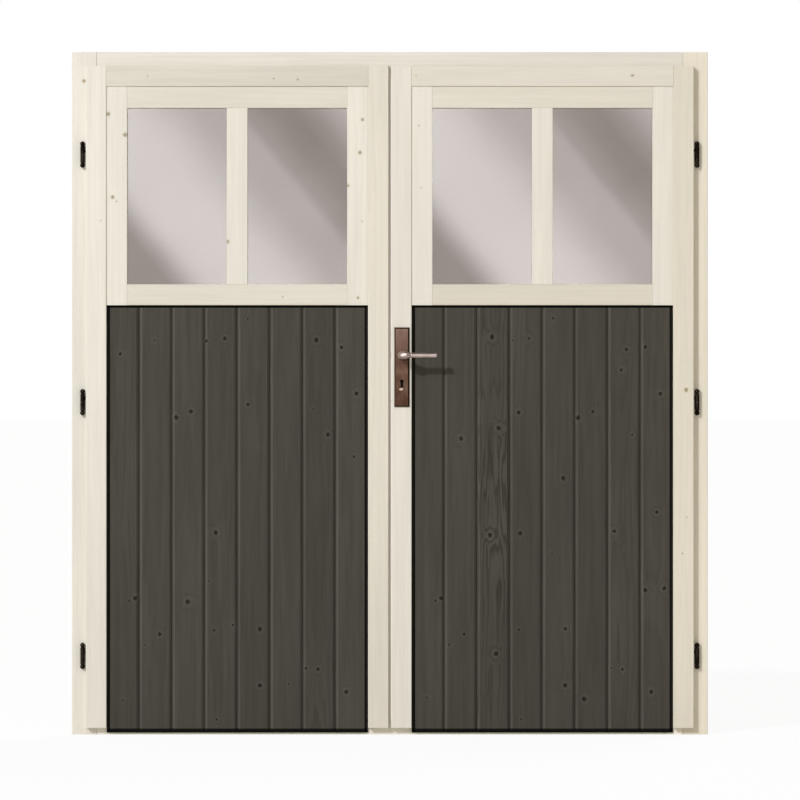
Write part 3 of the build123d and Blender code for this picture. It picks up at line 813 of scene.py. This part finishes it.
def screw_mesh(material):
    """A low round head with a bevelled rim and a cross recess, standing on its base."""
    steps = [2 * pi * step / screw_sides for step in range(screw_sides)]
    rim = [(screw_radius * cos(turn), screw_radius * sin(turn)) for turn in steps]
    cross = cross_outline(screw_cross_reach_share * screw_radius, screw_cross_half_share * screw_radius)
    shape = bmesh.new()
    foot = loop(shape, rim, 1.0, 0.0)
    shoulder = loop(shape, rim, 1.0, screw_height * screw_top_share)
    top = loop(shape, rim, screw_top_share, screw_height)
    mouth = loop(shape, cross, 1.0, screw_height)
    floor = loop(shape, cross, 1.0, screw_height * (1.0 - screw_cross_depth_share))
    wall(shape, foot, shoulder)
    wall(shape, shoulder, top)
    wall(shape, mouth, floor)
    shape.faces.new(floor)
    holed_face(shape, top, mouth)
    bmesh.ops.recalc_face_normals(shape, faces=shape.faces)
    mesh = bpy.data.meshes.new("screw")
    shape.to_mesh(mesh)
    shape.free()
    mesh.materials.append(material)
    return mesh


def set_screw(name, mesh, place, facing, body):
    screw = bpy.data.objects.new(name, mesh)
    screw.rotation_mode = "QUATERNION"
    screw.rotation_quaternion = Vector(facing).to_track_quat("Z", "Y")
    screw.location = place
    bpy.context.scene.collection.objects.link(screw)
    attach(screw, body)


def guide_screws(mesh):
    """Four on each bolt guide, beside the bolt. Its sheet is as thick as the strike plate."""
    sheet_low, sheet_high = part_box("strike_plate")
    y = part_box("left_meeting_stile")[1].y + sheet_high.x - sheet_low.x
    for guide in ("top_bolt_guide", "bottom_bolt_guide"):
        lowest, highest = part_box(guide)
        middle_x = (lowest.x + highest.x) / 2
        for count, z in enumerate((lowest.z + guide_screw_inset, highest.z - guide_screw_inset)):
            for side, x in (("a", middle_x - guide_screw_reach), ("b", middle_x + guide_screw_reach)):
                set_screw(f"{guide}_screw_{side}{count}", mesh, (x, y, z), (0, 1, 0), "left_leaf")


def keeper_screws(mesh):
    """Two on each keeper, at the sides of its hole."""
    for keeper, facing in (("top_keeper", -1), ("bottom_keeper", 1)):
        lowest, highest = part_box(keeper)
        middle = (lowest + highest) / 2
        z = lowest.z if facing < 0 else highest.z
        for side, x in (("a", middle.x - keeper_screw_reach), ("b", middle.x + keeper_screw_reach)):
            set_screw(f"{keeper}_screw_{side}", mesh, (x, middle.y, z), (0, 0, facing), "frame")


def edge_screws(mesh):
    """Two each in the strike plate and the lock's forend, in the gap between the leaves."""
    for plate, facing, body in (("strike_plate", 1, "left_leaf"), ("lock_case", -1, "right_leaf")):
        lowest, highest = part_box(plate)
        y = (lowest.y + highest.y) / 2
        x = highest.x if facing > 0 else lowest.x
        for side, z in (("low", lowest.z + plate_screw_inset), ("high", highest.z - plate_screw_inset)):
            set_screw(f"{plate}_screw_{side}", mesh, (x, y, z), (facing, 0, 0), body)


def make_screws(material):
    mesh = screw_mesh(material)
    guide_screws(mesh)
    keeper_screws(mesh)
    edge_screws(mesh)


# Studio


def seen(graph):
    """One for rays that show the background: straight, mirrored and through glass."""
    path = graph.add("ShaderNodeLightPath").outputs
    share = graph.math("MAXIMUM", path["Is Camera Ray"], path["Is Glossy Ray"])
    return graph.math("MAXIMUM", share, path["Is Transmission Ray"])


def make_world():
    world = bpy.data.worlds.new("studio")
    world.use_nodes = True
    bpy.context.scene.world = world
    graph = Graph(world.node_tree)
    shown = seen(graph)
    tint = graph.mix(shown, (*world_tint, 1.0), white)
    strength = graph.remap(shown, (0.0, 1.0), world_light, 1.0)
    background = graph.add("ShaderNodeBackground", {"Color": tint, "Strength": strength})
    graph.finish(background.outputs[0], "ShaderNodeOutputWorld")


def card(name, corners, material):
    """A flat sheet through four corners."""
    mesh = bpy.data.meshes.new(name)
    mesh.from_pydata([tuple(corner) for corner in corners], [], [tuple(range(len(corners)))])
    sheet = bpy.data.objects.new(name, mesh)
    sheet.data.materials.append(material)
    bpy.context.scene.collection.objects.link(sheet)
    return sheet


def only_mirrored(sheet):
    """Shown in gloss and in nothing else."""
    sheet.visible_camera = False
    sheet.visible_diffuse = False
    sheet.visible_transmission = False
    sheet.visible_shadow = False
    sheet.visible_volume_scatter = False


def make_floor():
    material, graph = new_material("floor")
    bounce = graph.add("ShaderNodeBsdfDiffuse", {"Color": colour(floor_tone)})
    pale = graph.add("ShaderNodeBsdfDiffuse", {"Color": colour(floor_seen_tone)})
    shown = graph.cover(floor_white_share, pale.outputs[0], graph.glow(white, 1.0))
    graph.finish(graph.cover(seen(graph), bounce.outputs[0], shown))
    half = floor_size / 2
    card("floor", [(-half, -half, 0), (half, -half, 0), (half, half, 0), (-half, half, 0)], material)


def card_material(name, corner, width, height):
    """A softbox whose brightness changes along slanted bands."""
    material, graph = new_material(name)
    place = graph.separate(graph.point())
    right = graph.math("SUBTRACT", place["X"], corner[0])
    up = graph.math("SUBTRACT", place["Z"], corner[1])
    slanted = graph.math("MULTIPLY_ADD", up, 1.0 / card_slope, right)
    share = graph.math("DIVIDE", slanted, width + height / card_slope)
    brightest = max(value for _, value in card_stops)
    bands = graph.ramp(share, [(stop, value / brightest) for stop, value in card_stops])
    tinted = graph.mix(1.0, bands, (*card_tint, 1.0), "MULTIPLY")
    graph.finish(graph.glow(tinted, brightest))
    return material


def make_cards(camera_place):
    """One bright card for each window, where its panes mirror it towards the camera."""
    for side in ("left", "right"):
        boxes = [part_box(f"{side}_{pane}") for pane in ("pane_meeting", "pane_hinge")]
        glass_y = boxes[0][0].y
        lowest = Vector((min(box[0].x for box in boxes), glass_y, boxes[0][0].z))
        highest = Vector((max(box[1].x for box in boxes), glass_y, boxes[0][1].z))
        share = card_distance / (glass_y - camera_place.y)
        lowest += (lowest - camera_place) * share
        highest += (highest - camera_place) * share
        y = glass_y - card_distance
        margin = Vector((card_margin, 0.0, card_margin))
        near = lowest - margin
        far = highest + margin
        corners = [(near.x, y, near.z), (far.x, y, near.z), (far.x, y, far.z), (near.x, y, far.z)]
        width = highest.x - lowest.x
        height = highest.z - lowest.z
        material = card_material(f"{side}_window_card", (lowest.x, lowest.z), width, height)
        only_mirrored(card(f"{side}_window_card", corners, material))


def glowing(name, tint, light):
    material, graph = new_material(name)
    graph.finish(graph.glow(tint, light))
    return material


def side_card(name, x, near, far, material):
    """An upright card beside the door."""
    corners = [(x, near, 0), (x, far, 0), (x, far, flag_top), (x, near, flag_top)]
    only_mirrored(card(name, corners, material))


def make_flags():
    """A softbox on the side of the key light, and dark cards on the right and above."""
    dark = glowing("flag", colour(flag_tone), 1.0)
    bright = glowing("softbox", (*key_tint, 1.0), softbox_light)
    side_card("softbox", -flag_place, softbox_near, softbox_far, bright)
    side_card("right_flag", flag_place, flag_near, flag_far, dark)
    left, right, z = -flag_place, flag_place, high.z + flag_place
    corners = [(left, flag_near, z), (right, flag_near, z), (right, flag_far, z), (left, flag_far, z)]
    only_mirrored(card("top_flag", corners, dark))


def hang_lamp(lamp, direction, place=(0.0, 0.0, 0.0)):
    """Puts a lamp in the studio, pointing along a direction."""
    lamp_object = bpy.data.objects.new(lamp.name, lamp)
    lamp_object.rotation_mode = "QUATERNION"
    lamp_object.rotation_quaternion = direction.to_track_quat("-Z", "Y")
    lamp_object.location = place
    lamp_object.visible_camera = False
    bpy.context.scene.collection.objects.link(lamp_object)


def sun(name, direction, strength, angle, tint=plain_tint):
    lamp = bpy.data.lights.new(name, "SUN")
    lamp.energy = strength
    lamp.angle = angle
    lamp.color = tint
    hang_lamp(lamp, Vector(direction))


def broad_lamp():
    """A broad lamp near the upper left, so that light falls off across the door."""
    lamp = bpy.data.lights.new("broad", "AREA")
    lamp.energy = broad_power
    lamp.size = broad_size
    lamp.color = broad_tint
    middle = (low + high) / 2
    hang_lamp(lamp, middle - Vector(broad_place), broad_place)


def make_camera():
    """Straight on, with the frame's front face at the picture's scale."""
    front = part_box("head")[0].y
    x, z = spot(image_size / 2, image_size / 2)
    camera = bpy.data.cameras.new("camera")
    camera.sensor_width = sensor_width
    camera.lens = sensor_width * camera_distance / (image_size * metres_per_pixel)
    camera_object = bpy.data.objects.new("camera", camera)
    camera_object.location = (x, front - camera_distance, z)
    camera_object.rotation_euler = (pi / 2, 0.0, 0.0)
    bpy.context.scene.collection.objects.link(camera_object)
    bpy.context.scene.camera = camera_object
    return camera_object.location.copy()


def make_studio():
    bpy.context.scene.view_settings.view_transform = "Standard"
    make_world()
    make_floor()
    make_flags()
    sun("key", key_direction, key_strength, key_angle, key_tint)
    sun("back_fill", back_direction, back_strength, back_angle)
    broad_lamp()
    make_cards(make_camera())


dress_wood()
make_screws(dress_fittings())
make_studio()
